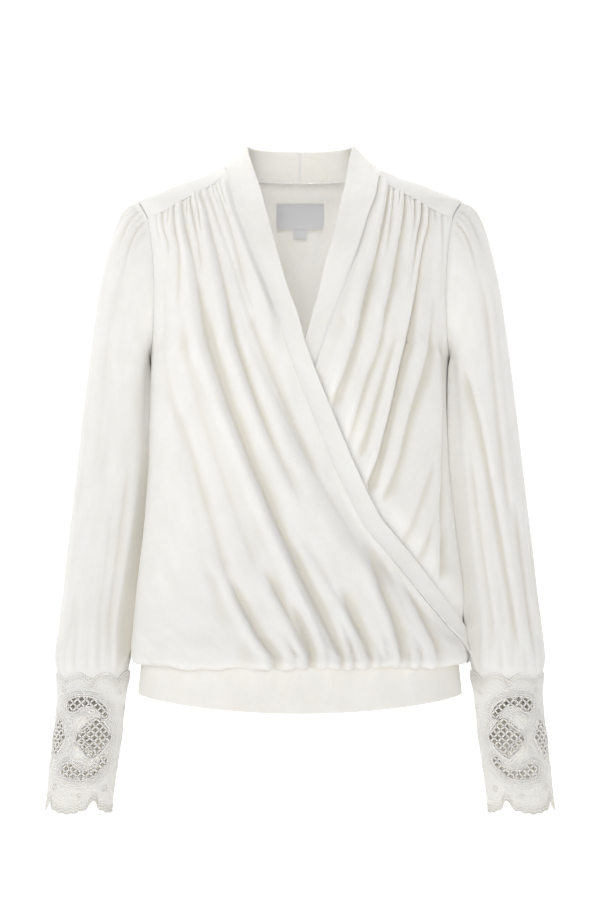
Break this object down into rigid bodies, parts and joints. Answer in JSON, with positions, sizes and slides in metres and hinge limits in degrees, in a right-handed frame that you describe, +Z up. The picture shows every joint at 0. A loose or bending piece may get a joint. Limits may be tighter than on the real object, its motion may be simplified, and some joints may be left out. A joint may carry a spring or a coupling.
{
  "type": "long-sleeved wrap top, filled out as worn with no wearer",
  "caption": "Hollow long-sleeved wrap blouse with gathered crossover fronts, shoulder yokes, neckband, hem band and lace cuffs.",
  "frame": {"origin": "midway between the two high points of the shoulders, where the wearer carries the top", "axes": "+Z up, the front faces -Y, +X is the wearer's left"},
  "size_m": [0.5494, 0.2279, 0.72],
  "materials": {
    "ivory_jersey": "brushed ivory jersey, soft matt nap",
    "ivory_band": "the same jersey sewn double",
    "ivory_lace": "ivory guipure lace with satin stitch",
    "label_satin": "pale satin, blank"
  },
  "bodies": {
    "root": {"front_over": "ivory_jersey", "front_under": "ivory_jersey", "back": "ivory_jersey", "yoke_right": "ivory_jersey", "yoke_left": "ivory_jersey", "sleeve_right": "ivory_jersey", "sleeve_left": "ivory_jersey", "neckband_right": "ivory_band", "neckband_left": "ivory_band", "hem_band_front": "ivory_band", "hem_band_back": "ivory_band", "cuff_front_right": "ivory_lace", "cuff_back_right": "ivory_lace", "cuff_front_left": "ivory_lace", "cuff_back_left": "ivory_lace", "label": "label_satin", "size_tab": "label_satin"}
  },
  "joints": []
}
